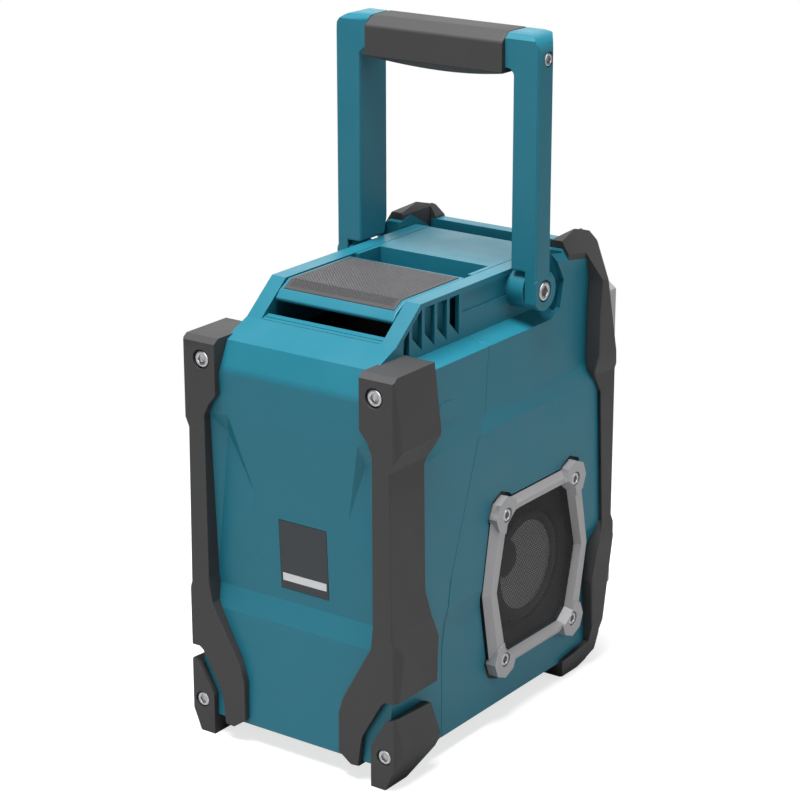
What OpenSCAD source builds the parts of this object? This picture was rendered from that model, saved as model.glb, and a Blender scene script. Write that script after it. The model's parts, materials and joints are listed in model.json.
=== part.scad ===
// Jobsite radio: cabinet on rubber corner bumpers, folding carry handle, battery bay under a top lid.
// Millimetres. +Z up, the display looks along -Y, the origin is on the ground below the box's middle.

/* [Cabinet] */
// Width over the cabinet's side walls
cab_w = 149; // [144:1:160]
// Depth from the cabinet's front wall to its rear wall
cab_d = 240; // [232:1:260]
// Height of the side shoulders above the ground
shoulder_z = 253; // [245:1:268]
// Height of the underside above the ground
base_z = 12; // [10:0.5:14]
// Thickness of the moulded walls
wall = 3; // [2.4:0.1:3.6]
// How far the side walls step in above and below their middle
side_step = 3.5; // [2:0.5:4.5]
// How far the rear wall is dished between its two creases
rear_dish = 6.5; // [3:0.5:8]

/* [Top deck] */
// Height of the deck over the side shoulders
deck_h = 36; // [32:1:42]
// Width of the deck over its two rails
deck_w = 112; // [106:1:116]
// Width of one rail's top
rail_w = 11; // [8:0.5:13]
// Depth of the groove that a phone stands in
phone_groove_d = 17; // [12:1:20]
// Width of the groove that a phone stands in
phone_groove_w = 19; // [14:1:22]
// Width of one vent slot in the deck's side
vent_w = 10.2; // [8:0.2:10.6]

/* [Bumpers] */
// How far a bumper stands out past the side wall
bumper_out = 7.5; // [6:0.5:9]
// Thickness of a bumper on the rear wall
bumper_t = 4; // [3:0.5:6]
// Width of a rear bumper's top block
block_w = 28; // [24:1:32]
// Height of the foot block under a rear bumper
foot_h = 48; // [42:1:52]

/* [Speakers] */
// Distance from the front wall back to the speakers' axis
speaker_back = 84; // [80:1:90]
// Height of the speakers' axis above the ground
speaker_z = 93; // [88:1:98]
// Spacing of the bezel screws along the cabinet
bezel_screw_y = 80; // [76:1:84]
// Spacing of the bezel screws in height
bezel_screw_z = 98; // [94:1:102]
// Half the opening inside the bezel
grille_r = 47; // [44:0.5:49]
// Thickness of the bezel
bezel_t = 6; // [4.5:0.5:7]
// Radius of the speaker's mounting flange
basket_r = 45; // [42:0.5:47]
// Depth of the speaker behind its flange
basket_d = 26; // [20:1:32]

/* [Handle] */
// Height of the handle's top over its pivots
handle_reach = 160; // [150:1:172]
// Width of one arm, seen from behind
arm_w = 19; // [16:0.5:21]
// Depth of one arm, front to back
arm_d = 29.5; // [26:0.5:32]
// Radius of the pivot's boss and of the arm's lower end
pivot_boss_r = 12.5; // [11:0.5:14]
// Radius of the pivot screw's shoulder
pivot_r = 4; // [3:0.25:5]
// Length of the grip between the arms' ends
grip_l = 103.4; // [98:0.1:106]
// Height of the grip over its belly and crown
grip_h = 30; // [26:0.5:32]
// Radius of the steel bar inside the grip
core_r = 4; // [3.5:0.25:4.5]

/* [Battery lid] */
// Depth of the battery lid, front to back
lid_d = 76; // [70:1:78]
// Thickness of the lid plate
lid_t = 5; // [4:0.25:6]
// Thickness of the rubber pad on the lid
pad_t = 1.8; // [1.2:0.1:2.4]
// Radius of the lid's hinge pin
lid_pin_r = 1.5; // [1.2:0.1:2]
// Depth of the battery bay below the cabinet's top
bay_d = 104; // [90:1:115]

/* [Front panel] */
// Height of the silver frame on the front
frame_h = 226; // [210:1:232]
// How far the silver frame stands out of the front wall
trim_proud = 12; // [9:0.5:14]
// Width of the display window
display_w = 78; // [66:1:84]
// Height of the display window
display_h = 34; // [28:1:38]
// Radius of the tuning dial
dial_r = 23; // [19:0.5:25]
// Width of one preset key
key_w = 18; // [14:0.5:20]
// Height of one preset key
key_h = 10; // [8:0.5:12]
// Travel of a key
key_travel = 1.2; // [0.8:0.1:1.5]

/* [Hidden] */
$fn = 48;
teal = [0.16, 0.45, 0.53];
rubber_grey = [0.27, 0.27, 0.28];
satin_grey = [0.62, 0.61, 0.62];
panel_black = [0.09, 0.09, 0.1];
steel = [0.78, 0.78, 0.8];
near = 0.02;    // gap round a piece pressed into its seat
run = 0.05;     // radial clearance of a turning fit
slip = 0.3;     // gap beside a piece that slides or swings
over = 1;       // how far a cutting tool runs past the face it cuts

// Cabinet levels and planes
half_w = cab_w / 2;
rear_y = cab_d / 2 + (trim_proud - bumper_t) / 2;
front_y = rear_y - cab_d;
ledge_rise = 4;
top_z = shoulder_z + ledge_rise;
deck_top = shoulder_z + deck_h;
crease_hi_z = shoulder_z - 12.6;
crease_r1_z = shoulder_z + 6.6;
crease_r1_y = rear_y - 8.7;
band_hi_z = 100.6;
band_lo_z = 85.6;
band_lo_in = 2.8;
rear_lean = atan(rear_dish / (crease_hi_z - band_hi_z));
side_hi_top = shoulder_z - 40;
side_hi_low = shoulder_z - 52.5;
side_lo_top = 98;
side_lo_low = 87;
sill_y = rear_y - 30.3;
sill_z = shoulder_z + 15.5;
sill_d = 7.4;
bevel_y = rear_y - (top_z - crease_hi_z) * 8.7 / (crease_r1_z - crease_hi_z);

// Deck stations, front to back
bar_y = front_y + 13;
insert_y = bar_y + phone_groove_w;
lid_front = sill_y - sill_d - 5.6 - lid_d;
trough_y = lid_front - 29;
kink_y = sill_y - 25;
lid_half = deck_w / 2 - rail_w - 0.5;
vent_count = 5;
vent_pitch = vent_w + 2.75;
vent_rear = kink_y + 16.8;
side_rebate = 1.2;

// Speakers
speaker_y = front_y + speaker_back;
recess_d = 2;
seat_x = half_w - recess_d;
bezel_x = seat_x + bezel_t;
grille_t = 1.2;
flange_t = 2;
gasket_t = 1.2;
well_d = 3.5;
baffle_x = seat_x - well_d;
flange_x = baffle_x - wall - gasket_t - flange_t;
cone_r = 29;
surround_r = 3.5;
coil_r = 13;
screw_r = 2;

// Handle
pivot_y = front_y + 80.5;
pivot_z = deck_top - 13;
arm_in = deck_w / 2 + 1.5;
arm_out = arm_in + arm_w;
arm_rear = pivot_y + 10.5;
arm_front = arm_rear - arm_d;
handle_top = pivot_z + handle_reach;
cheek_in = arm_in + 10.5;
core_y = arm_rear - 11;
core_z = handle_top - 15.6;
core_reach = arm_in + 11;
grip_rear = core_y + 14;
grip_front = core_y - 20;
grip_bevel = 5.5;
pivot_head_r = 6.2;
bend_r = 12;
stub_h = 21.5;
head_in = 2.4;

// Battery lid
hinge_y = lid_front + 4;
hinge_z = deck_top - 9.2;
trough_z = deck_top - 16;
bay_cut_y = lid_front + 7;

// Front panel stations, heights above the ground
panel_half_x = 58;
panel_low = 44;
panel_high = shoulder_z - 6;
panel_y = front_y - 3;
panel_t = 3;
frame_mid_z = (panel_low + panel_high) / 2 + 7.5;
frame_half_x = half_w - 1.5;
display_z = panel_high - 41;
flap_w = 52;
flap_h = 22;
flap_t = 2.1;
flap_gap = 0.1;
flap_z = panel_low + 28;
dial_z = flap_z + 46;
key_row_z = (dial_z + dial_r + display_z - display_h / 2) / 2;
side_key_x = 42;
board_y = front_y + 14;
board_t = 1.6;

// ---- helpers ----
module along_x(x0, x1) { translate([x0, 0, 0]) rotate([90, 0, 90]) linear_extrude(x1 - x0) children(); }
module along_y(y0, y1) { translate([0, y1, 0]) rotate([90, 0, 0]) linear_extrude(y1 - y0) children(); }
module on_side(side) { mirror([side < 0 ? 1 : 0, 0, 0]) children(); }
module both_sides() { children(); mirror([1, 0, 0]) children(); }
module rod_x(r, x0, x1) { translate([x0, 0, 0]) rotate([0, 90, 0]) cylinder(r = r, h = x1 - x0); }
module rod_y(r, y0, y1) { translate([0, y0, 0]) rotate([-90, 0, 0]) cylinder(r = r, h = y1 - y0); }
module box(lo, hi) { translate(lo) cube(hi - lo); }
function flip(points) = [for (i = [len(points) - 1:-1:0]) [-points[i][0], points[i][1]]];
function mirrored(points) = concat(points, flip(points));

// ---- cabinet ----
function side_profile(t) = mirrored([
    [half_w - side_step / 2 - t, base_z + t], [half_w - side_step / 2 - t, side_lo_low],
    [half_w - t, side_lo_top], [half_w - t, side_hi_low],
    [half_w - side_step - t, side_hi_top], [half_w - side_step - t, shoulder_z - t],
    [deck_w / 2, top_z - t]
]);
function long_profile(t) = [
    [front_y + t, base_z + 14], [front_y + 8 + t, base_z + t], [rear_y - t, base_z + t],
    [rear_y - band_lo_in - t, band_lo_z], [rear_y - rear_dish - t, band_hi_z],
    [rear_y - t, crease_hi_z], [bevel_y - t, top_z - t], [front_y + t, top_z - t]
];
function rear_hump(t, low) = [
    [sill_y + t, low], [bevel_y - t, low], [bevel_y - t, top_z - t], [crease_r1_y - t, crease_r1_z - t],
    [sill_y + t, sill_z - t]
];
module body_form(t) {
    intersection() {
        along_x(-half_w, half_w) polygon(long_profile(t));
        along_y(front_y, rear_y) polygon(side_profile(t));
    }
    along_x(t - deck_w / 2, deck_w / 2 - t) polygon(rear_hump(t, top_z - 2 * wall));
}
module side_badge() {
    y = front_y + 179.4;
    z = shoulder_z - 29;
    along_x(half_w - side_step - 1, half_w - side_step + 0.5) polygon([
        [y + 9, z], [y + 6, z + 6], [y - 6, z + 6], [y - 9, z], [y - 6, z - 6], [y + 6, z - 6]
    ]);
}
module ear() {
    plate_in = half_w - side_step - wall;
    ear_y = front_y + 52;
    nose = [
        [front_y + 36, deck_top + 7], [front_y + 16, deck_top - 4], [front_y + 8, deck_top - 20],
        [front_y + 3, shoulder_z - 1.5]
    ];
    difference() {
        union() {
            along_x(plate_in, half_w - side_step) polygon(concat([
                [front_y + 67, shoulder_z - 1.5], [ear_y + 2, shoulder_z + 5], [ear_y - 2, shoulder_z + 23],
                [ear_y + 11, deck_top + 8], [ear_y + 6, deck_top + 11]
            ], nose));
            along_x(deck_w / 2 + 1, plate_in)
                polygon(concat([[ear_y, shoulder_z - 1.5], [ear_y - 4, deck_top + 4]], nose));
        }
        slice_off(horn_peak - [0, 0, 4], horn_tilt);
    }
}
// Takes away what lies past a plane through a point; the plane's normal is given.
module slice_off(point, normal) {
    translate(point) rotate([0, acos(normal[2] / norm(normal)), atan2(normal[1], normal[0])])
        translate([-200, -200, 0]) cube([400, 400, 100]);
}
module crossbar() {
    box([-deck_w / 2 - 1, front_y, top_z - wall], [deck_w / 2 + 1, bar_y, deck_top - 16]);
    along_x(-deck_w / 2 - 1, deck_w / 2 + 1) polygon([
        [front_y, deck_top - 16], [bar_y, deck_top - 16], [bar_y, deck_top], [front_y + 4, deck_top],
        [front_y, deck_top - 4]
    ]);
}
function grille_shape(g) = [
    [g + 0.5, 0], [g - 10, g - 7], [g - 19, g], [19 - g, g], [10 - g, g - 7],
    [-g - 0.5, 0], [10 - g, 7 - g], [19 - g, -g], [g - 19, -g], [g - 10, 7 - g]
];
module at_speaker() { translate([0, speaker_y, speaker_z]) children(); }
module screw_corners() {
    for (y = [-1, 1], z = [-1, 1])
        translate([0, y * bezel_screw_y / 2, z * bezel_screw_z / 2]) children();
}
module bezel_outline(extra) {
    g = grille_r + extra;
    polygon([
        [g + 12, 0], [g + 3.5, g - 2], [g - 19, g + 8.5], [19 - g, g + 8.5], [-g - 3.5, g - 2],
        [-g - 12, 0], [-g - 3.5, 2 - g], [19 - g, -g - 8.5], [g - 19, -g - 8.5], [g + 3.5, 2 - g]
    ]);
}
module bezel_lugs(r, x0, x1) { screw_corners() rod_x(r, x0, x1, $fn = 8); }
module speaker_cut() {
    at_speaker() {
        along_x(seat_x, half_w + over) bezel_outline(2.5);
        bezel_lugs(15, seat_x, half_w + over);
        along_x(baffle_x, half_w) polygon(grille_shape(grille_r));
        rod_x(basket_r - 8, baffle_x - wall - over, half_w);
    }
}
module speaker_well() {
    at_speaker() along_x(baffle_x - wall, seat_x) polygon(grille_shape(grille_r + wall));
}
module bezel_bosses() {
    at_speaker() screw_corners() difference() {
        rod_x(5, seat_x - 12, half_w - recess_d - 0.5);
        rod_x(screw_r + near, seat_x - 12 - over, half_w);
    }
}
module bezel_holes() { at_speaker() screw_corners() rod_x(screw_r + near, seat_x - wall, half_w + over); }
function seam(y_end) = [
    [y_end, base_z - over], [front_y + 186, base_z - over], [front_y + 186, 71.5], [front_y + 179, 115.4],
    [front_y + 149.7, shoulder_z - 53.7], [front_y + 138, shoulder_z - 41.3],
    [front_y + 134.3, shoulder_z], [front_y + 134.3, deck_top + 60], [y_end, deck_top + 60]
];
module bay_opening() {
    box([-lid_half + 2.5, bay_cut_y, top_z - 2 * wall],
        [lid_half - 2.5, sill_y - sill_d - 1, top_z + over]);
}
module front_window() {
    box([-panel_half_x - slip, front_y - over, panel_low - slip],
        [panel_half_x + slip, front_y + wall + over, panel_high + slip]);
}
module cabinet_shell() {
    difference() {
        union() {
            difference() {
                union() { body_form(0); both_sides() ear(); crossbar(); }
                body_form(wall);
            }
            both_sides() { bezel_bosses(); speaker_well(); side_badge(); }
            for (side = [-1, 1]) on_side(side) translate([0, -wall, 0]) rear_facet(side);
        }
        for (side = [-1, 1]) on_side(side) rear_facet(side);
        both_sides() speaker_cut();
        both_sides() bezel_holes();
        bay_opening();
        front_window();
        bumper_screw_holes();
    }
}
module front_housing() {
    color(teal) intersection() {
        cabinet_shell();
        along_x(-half_w - over, half_w + over) polygon(seam(front_y - over));
    }
}
module rear_cover() {
    color(teal) difference() {
        cabinet_shell();
        along_x(-half_w - over, half_w + over) polygon(seam(front_y - over));
        label_recess();
    }
}

// Each facet is a shallow pyramid sunk in the leaning wall; its deep corner lies beside the bumper.
facet_d = 3.5;
function on_wall(x, z, deep) = [x, rear_y - (crease_hi_z - z) * tan(rear_lean) - deep, z];
module rear_facet(side) {
    tip_x = side < 0 ? 40.5 : 30;
    deep = on_wall(52, shoulder_z - 51, facet_d);
    rim = [
        on_wall(49, shoulder_z - 38.5, 0), on_wall(tip_x, shoulder_z - 87, 0),
        on_wall(bumper_x - 18, band_hi_z + 4, 0), on_wall(bumper_x - 18, shoulder_z - 41, 0)
    ];
    polyhedron(
        points = concat([deep], [for (p = rim) deep + 1.2 * (p - deep)]),
        faces = [[0, 2, 1], [0, 3, 2], [0, 4, 3], [0, 1, 4], [1, 2, 3], [1, 3, 4]]
    );
}

// ---- top deck ----
function deck_profile(t) = [
    [insert_y, top_z], [insert_y, deck_top - t], [kink_y - t / 3, deck_top - t],
    [sill_y - t, sill_z - t / 3], [sill_y - t, top_z]
];
module vent_slots() {
    along_x(deck_w / 2 - wall - over, deck_w / 2 + over) intersection() {
        for (i = [0:vent_count - 1]) translate([vent_rear - i * vent_pitch, 0]) polygon([
            [-vent_w / 2, top_z + 3], [vent_w / 2, top_z + (i == 0 ? 7 : 13)], [vent_w / 2, deck_top],
            [-vent_w / 2, deck_top]
        ]);
        polygon(deck_profile(3.2));
    }
}
module pivot_boss() {
    translate([0, pivot_y, pivot_z]) difference() {
        rod_x(pivot_boss_r, deck_w / 2 - wall, cheek_in - slip);
        rod_x(pivot_r + near, deck_w / 2 - wall - over, cheek_in + over);
    }
}
module top_deck() {
    flange = 6;
    color(teal) {
        both_sides() difference() {
            union() {
                along_x(deck_w / 2 - wall, deck_w / 2) polygon(deck_profile(0));
                along_x(deck_w / 2 - rail_w, deck_w / 2 - rail_w + 2) polygon(deck_profile(0));
                difference() {
                    along_x(deck_w / 2 - rail_w, deck_w / 2) polygon(deck_profile(0));
                    along_x(deck_w / 2 - rail_w - over, deck_w / 2 + over) polygon([
                        [insert_y - over, top_z - over], [insert_y - over, deck_top - flange],
                        [kink_y - flange / 3, deck_top - flange], [sill_y - sill_d, sill_z - 1],
                        [sill_y - sill_d, top_z - over]
                    ]);
                }
            }
            vent_slots();
            box([deck_w / 2 - side_rebate, pivot_y, (deck_top + top_z) / 2],
                [deck_w / 2 + over, vent_rear - (vent_count - 0.3) * vent_pitch, deck_top - 3.5]);
            translate([0, pivot_y, pivot_z]) rod_x(pivot_r + near, 0, half_w);
        }
        both_sides() pivot_boss();
        along_x(-deck_w / 2, deck_w / 2) polygon([
            [sill_y - sill_d, top_z], [sill_y, top_z], [sill_y, sill_z], [sill_y - sill_d, sill_z + 2]
        ]);
        along_x(-deck_w / 2, deck_w / 2) polygon([
            [bar_y, top_z], [insert_y + wall, top_z], [insert_y + wall, deck_top - wall],
            [insert_y, deck_top - wall], [insert_y, deck_top - phone_groove_d],
            [bar_y, deck_top - phone_groove_d]
        ]);
    }
}
module deck_insert() {
    plate = 3;
    floor_z = trough_z - plate;
    bracket_r = 2.6;
    bracket_x = lid_half - 3.5;
    color(teal) difference() {
        union() {
            box([-lid_half, insert_y, deck_top - plate], [lid_half, trough_y, deck_top]);
            box([-lid_half, trough_y - plate, floor_z], [lid_half, trough_y, deck_top]);
            box([-lid_half, trough_y - plate, floor_z], [lid_half, hinge_y + 5, trough_z]);
            box([-lid_half, hinge_y, top_z], [lid_half, bay_cut_y, floor_z + 1]);
            both_sides() {
                box([lid_half - plate, trough_y - plate, floor_z], [lid_half, lid_front - 6.5, deck_top]);
                box([bracket_x - 3, hinge_y - bracket_r, floor_z],
                    [bracket_x + 3, hinge_y + bracket_r, hinge_z]);
                translate([0, hinge_y, hinge_z]) rod_x(bracket_r, bracket_x - 3, bracket_x + 3);
            }
        }
        translate([0, hinge_y, hinge_z]) rod_x(lid_pin_r + near, -lid_half - over, lid_half + over);
    }
}

// ---- bumpers and feet ----
bumper_x = half_w + bumper_out;
bumper_top = shoulder_z + 9;
rear_face = rear_y + bumper_t;
front_face = front_y - 6;
rear_screw = [bumper_x - 17.4, shoulder_z - 4.8];
foot_screw = [bumper_x - 11.2, 21.5];
front_screws = [[bumper_x - 22, frame_mid_z - frame_h / 2 - 14], [bumper_x - 11.4, 150]];
front_head_r = 3.2;
corner_tilt = 5.5;
corner_turn = -41.8;
horn_in = deck_w / 2 + 1.3;
horn_cap = deck_w / 2 - 3;
horn_peak = [deck_w / 2 + 5.8, front_y + 23.5, deck_top + 12.5];
horn_tilt = [0.834, -0.09, 0.544];
horn_corner = [bumper_x - 4, front_y + 10.5, deck_top - 14];
horn_corner_tilt = [0.697, -0.697, 0.169];
horn_crest = [[front_y + 45, deck_top + 9.5], [horn_peak[1], horn_peak[2]], [front_y + 6.8, deck_top + 8],
    [front_y - 2, deck_top - 8]];
function rear_outline() = [
    [bumper_x - block_w, bumper_top], [bumper_x - 3.5, bumper_top], [bumper_x - 0.5, bumper_top - 45],
    [bumper_x - 6.3, bumper_top - 58], [bumper_x - 5, 101], [bumper_x - 0.5, 89],
    [bumper_x - 2, foot_h + 10],
    [bumper_x - 10, foot_h + 10], [bumper_x - 13, foot_h + 8], [bumper_x - 28, 30], [bumper_x - 30, 10],
    [bumper_x - 36.5, 9.5], [bumper_x - 45.7, 16], [bumper_x - 45.4, 42], [bumper_x - 42, 53],
    [bumper_x - 21, 90], [bumper_x - 19, 106], [bumper_x - 19, bumper_top - 49],
    [bumper_x - 23, bumper_top - 41], [bumper_x - block_w, bumper_top - 35]
];
function rear_side_outline() = [
    [rear_y - 38, bumper_top], [rear_y - 41, bumper_top - 43], [rear_y - 38, bumper_top - 52],
    [rear_y - 31, bumper_top - 62], [rear_y - 31, 121], [rear_y - 39, 98], [rear_y - 40, 54],
    [rear_y - 35, foot_h + 1.5], [rear_y - 6, foot_h + 8], [rear_y - 6, 9], [rear_face, 9],
    [rear_face, bumper_top]
];
module bumper_chamfers() {
    translate([0, 0, -over]) linear_extrude(deck_top + 40)
        polygon([[bumper_x - 4, rear_face + over], [bumper_x - 4, rear_face], [bumper_x, rear_face - 7],
            [bumper_x + over, rear_face - 7], [bumper_x + over, rear_face + over]]);
    along_x(0, bumper_x + over) polygon([
        [rear_face - 4, bumper_top + over], [rear_face - 4, bumper_top], [rear_face, bumper_top - 3],
        [rear_face + over, bumper_top - 3], [rear_face + over, bumper_top + over]
    ]);
}
module rear_bumper(side) {
    color(rubber_grey) on_side(side) difference() {
        intersection() {
            along_x(0, bumper_x) polygon(rear_side_outline());
            along_y(rear_y - 60, rear_face) polygon(rear_outline());
        }
        difference() {
            body_form(0);
            rear_facet(side);
        }
        box([-deck_w / 2 - near, 0, top_z - over], [deck_w / 2 + near, sill_y + near, bumper_top + over]);
        bumper_chamfers();
        translate([rear_screw[0], 0, rear_screw[1]]) {
            rod_y(6.2, rear_face - 2.6, rear_face + over);
            rod_y(screw_r + near, rear_y - 30, rear_face);
        }
    }
}
module rear_foot(side) {
    color(rubber_grey) on_side(side) difference() {
        intersection() {
            along_y(rear_y - 60, rear_face) polygon([
                [bumper_x - 20.8, 0], [bumper_x - 10, 0], [bumper_x, 24], [bumper_x - 3, foot_h],
                [bumper_x - 10, foot_h - 3], [bumper_x - 20.8, 27]
            ]);
            along_x(0, bumper_x) polygon([
                [rear_face, 0], [rear_face, foot_h], [rear_y - 34, foot_h - 2], [rear_y - 41.5, 19],
                [rear_y - 40, 14], [rear_y - 18, 0]
            ]);
        }
        body_form(0);
        bumper_chamfers();
        translate([foot_screw[0], 0, foot_screw[1]]) {
            rod_y(5.2, rear_face - 2.6, rear_face + over);
            rod_y(screw_r + near, rear_y - 30, rear_face);
        }
    }
}
function front_outline() = [
    [horn_cap, deck_top + 1.5], [horn_cap + 5.6, deck_top + 10], [horn_peak[0], deck_top + 13],
    [bumper_x, deck_top + 13], [bumper_x - 0.5, deck_top - 70],
    [bumper_x - 5, deck_top - 85], [bumper_x - 5, 101], [bumper_x - 0.5, 89], [bumper_x - 2, 30],
    [bumper_x - 10, 0], [bumper_x - 34, 0], [bumper_x - 36, 30], [bumper_x - 22, 60],
    [bumper_x - 15, 84], [bumper_x - 15, deck_top - 80], [horn_in, deck_top - 62],
    [horn_in, deck_top - 9], [horn_cap, deck_top - 9]
];
function front_side_outline() = concat([[front_y + 45, deck_top + 6]], horn_crest, [
    [front_face, deck_top - 30],
    [front_face, 97], [front_y - 2, 90.5], [front_y + 9, 15], [front_y + 16, 3], [front_y + 26, 0],
    [front_y + 44, 0], [front_y + 50, 14], [front_y + 19, 18], [front_y + 23.3, 63], [front_y + 18, 86],
    [front_y + 6, 100], [front_y + 11.5, deck_top - 96.5], [front_y + 22, deck_top - 80],
    [front_y + 22, deck_top - 45], [front_y + 20, deck_top - 20], [front_y + 24, deck_top - 2],
    [front_y + 28, deck_top + 3]
]);
module front_bumper(side) {
    color(rubber_grey) on_side(side) difference() {
        intersection() {
            union() {
                along_x(half_w - side_step - 6, bumper_x) polygon(front_side_outline());
                along_x(horn_in, half_w - side_step) polygon(concat([[front_y + 45, 0]], horn_crest, [
                    [front_face - 3, deck_top - 16],
                    [front_face - 3, deck_top - 24], [front_face, deck_top - 30], [front_face, 20],
                    [front_y + 2, 5], [front_y + 16, 1], [front_y + 26, 0]
                ]));
                along_x(0, half_w - side_step) polygon([
                    [front_face, 20], [front_y + 2, 5], [front_y + 16, 1], [front_y + 26, 0],
                    [front_y + 44, 0], [front_y + 44, base_z + wall], [front_y + 16, 100], [front_face, 100]
                ]);
                along_x(horn_cap, horn_in + over) polygon([
                    [bar_y, deck_top - over], [bar_y, deck_top + 11], horn_crest[2], horn_crest[3],
                    [front_y - 2, deck_top - 9], [front_y + 4, deck_top - 9]
                ]);
            }
            along_y(front_y - trim_proud, front_y + 70) polygon(front_outline());
        }
        body_form(0);
        ear();
        crossbar();
        slice_off(horn_peak, horn_tilt);
        slice_off(horn_corner, horn_corner_tilt);
        along_y(front_y - trim_proud - over, front_y + near) frame_outline(slip);
        translate([bumper_x, front_y + 9, 15]) rotate([0, corner_tilt, corner_turn])
            translate([0, -60, -60]) cube([40, 120, 200]);
        for (p = front_screws) translate([p[0], 0, p[1]]) {
            rod_y(front_head_r + slip, front_face - over, front_face + head_in);
            rod_y(screw_r + near, front_face - over, front_y + 12);
        }
        for (p = frame_screws) translate([p[0], 0, p[1]])
            rod_y(screw_r + near, front_y - trim_proud, front_y + 12);
    }
}
module screw(r_head, h_head, r, length) {
    difference() {
        union() {
            translate([0, 0, -h_head]) cylinder(r = r_head, h = h_head);
            cylinder(r = r, h = length);
        }
        translate([0, 0, -h_head - over]) cylinder(r = r_head * 0.45, h = 1.2 + over, $fn = 6);
    }
}
module bumper_screw_holes() {
    for (p = [rear_screw, foot_screw])
        both_sides() translate([p[0], 0, p[1]]) rod_y(screw_r + near, rear_y - 30, rear_y + over);
    for (p = concat(front_screws, frame_screws))
        both_sides() translate([p[0], 0, p[1]]) rod_y(screw_r + near, front_y - over, front_y + 8);
}
module bumper_screws() {
    color(steel) both_sides() {
        for (p = [rear_screw, foot_screw]) translate([p[0], rear_face - 2.6, p[1]]) rotate([90, 0, 0])
            screw(p == rear_screw ? 5.2 : 4.6, 2, screw_r, 16);
        for (p = front_screws) translate([p[0], front_face + head_in, p[1]]) rotate([-90, 0, 0])
            screw(front_head_r, 2, screw_r, 11);
    }
}

// ---- label ----
label_mid = [-5, 131.5];
label_w = 36;
label_h = 45;
label_t = 0.8;
module label_block(grow, out) {
    w = label_w / 2 + grow;
    h = label_h / 2 + grow;
    wall_y = rear_y - (crease_hi_z - label_mid[1]) * tan(rear_lean);
    translate([label_mid[0], wall_y, label_mid[1]]) rotate([-rear_lean, 0, 0])
        box([-w, -label_t, -h], [w, out, h]);
}
module label_recess() { label_block(slip, over); }
module label_plate() { color([0.2, 0.22, 0.23]) label_block(0, 0.1); }

// ---- speakers ----
module spin_x() { rotate([0, 90, 0]) rotate_extrude($fn = 96) children(); }
module speaker_bezel(side) {
    color(satin_grey) on_side(side) at_speaker() difference() {
        union() {
            hull() {
                along_x(seat_x, seat_x + 2) bezel_outline(1.5);
                along_x(bezel_x - 0.5, bezel_x) bezel_outline(-2.5);
            }
            bezel_lugs(12.5, seat_x, bezel_x + 1);
        }
        hull() {
            along_x(seat_x - over, seat_x) polygon(grille_shape(grille_r));
            along_x(bezel_x + over, bezel_x + 2 * over) polygon(grille_shape(grille_r + 3));
        }
        along_x(seat_x - over, seat_x + grille_t + near) polygon(grille_shape(grille_r + 2.5 + near));
        screw_corners() {
            rod_x(screw_r + near, seat_x - over, bezel_x + 2 * over);
            rod_x(4.8, bezel_x - 1.4, bezel_x + 2 * over);
        }
    }
}
module speaker_grille(side) {
    color(panel_black) on_side(side) at_speaker()
        along_x(seat_x, seat_x + grille_t) polygon(grille_shape(grille_r + 2.5));
}
module speaker_gasket(side) {
    color([0.12, 0.12, 0.12]) on_side(side) at_speaker() difference() {
        rod_x(basket_r, flange_x + flange_t, baffle_x - wall);
        rod_x(basket_r - 4.5, flange_x, baffle_x);
    }
}
module speaker_basket(side) {
    back_x = flange_x - basket_d;
    color([0.3, 0.3, 0.32]) on_side(side) at_speaker() difference() {
        spin_x() polygon([
            [basket_r, flange_x], [basket_r, flange_x + flange_t], [basket_r - 9, flange_x + flange_t],
            [basket_r - 9, flange_x], [24, back_x + 2], [coil_r + 1, back_x + 2], [coil_r + 1, back_x],
            [25.5, back_x], [basket_r - 7, flange_x - 1], [basket_r - 4, flange_x]
        ]);
        for (a = [45, 135, 225, 315]) rotate([a, 0, 0])
            translate([flange_x - basket_d / 2, 0, 32]) cylinder(r = 8, h = 30, center = true);
    }
}
function arc_points(r, c, x, from, to) = [
    for (i = [0:8]) let (a = from + (to - from) * i / 8) [c + r * cos(a), x + r * sin(a)]
];
module speaker_cone(side) {
    face_x = flange_x + flange_t;
    roll_c = cone_r + surround_r;
    skin = 0.8;
    color([0.14, 0.14, 0.15]) on_side(side) at_speaker() spin_x() polygon(concat(
        [[basket_r - 5, face_x], [basket_r - 5, face_x + skin], [roll_c + surround_r, face_x + skin]],
        arc_points(surround_r, roll_c, face_x + skin, 0, 180),
        [[coil_r, face_x - 13], [coil_r * 0.7, face_x - 10.4], [0, face_x - 9], [0, face_x - 9 - skin],
        [coil_r * 0.7, face_x - 10.4 - skin], [coil_r - 1, face_x - 13.5], [coil_r - 1, face_x - 24],
        [coil_r, face_x - 24], [coil_r, face_x - 14], [cone_r, face_x - skin]],
        arc_points(surround_r - skin, roll_c, face_x, 180, 0)
    ));
}
module speaker_magnet(side) {
    back_x = flange_x - basket_d;
    color([0.35, 0.35, 0.36]) on_side(side) at_speaker() difference() {
        rod_x(24, back_x - 14, back_x);
        rod_x(coil_r + 1, back_x - 9, back_x + over);
    }
}
module bezel_screws() {
    color(steel) both_sides() at_speaker() screw_corners()
        translate([bezel_x - 1.4, 0, 0]) rotate([0, -90, 0]) screw(4.2, 2, screw_r, 16);
}

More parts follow.
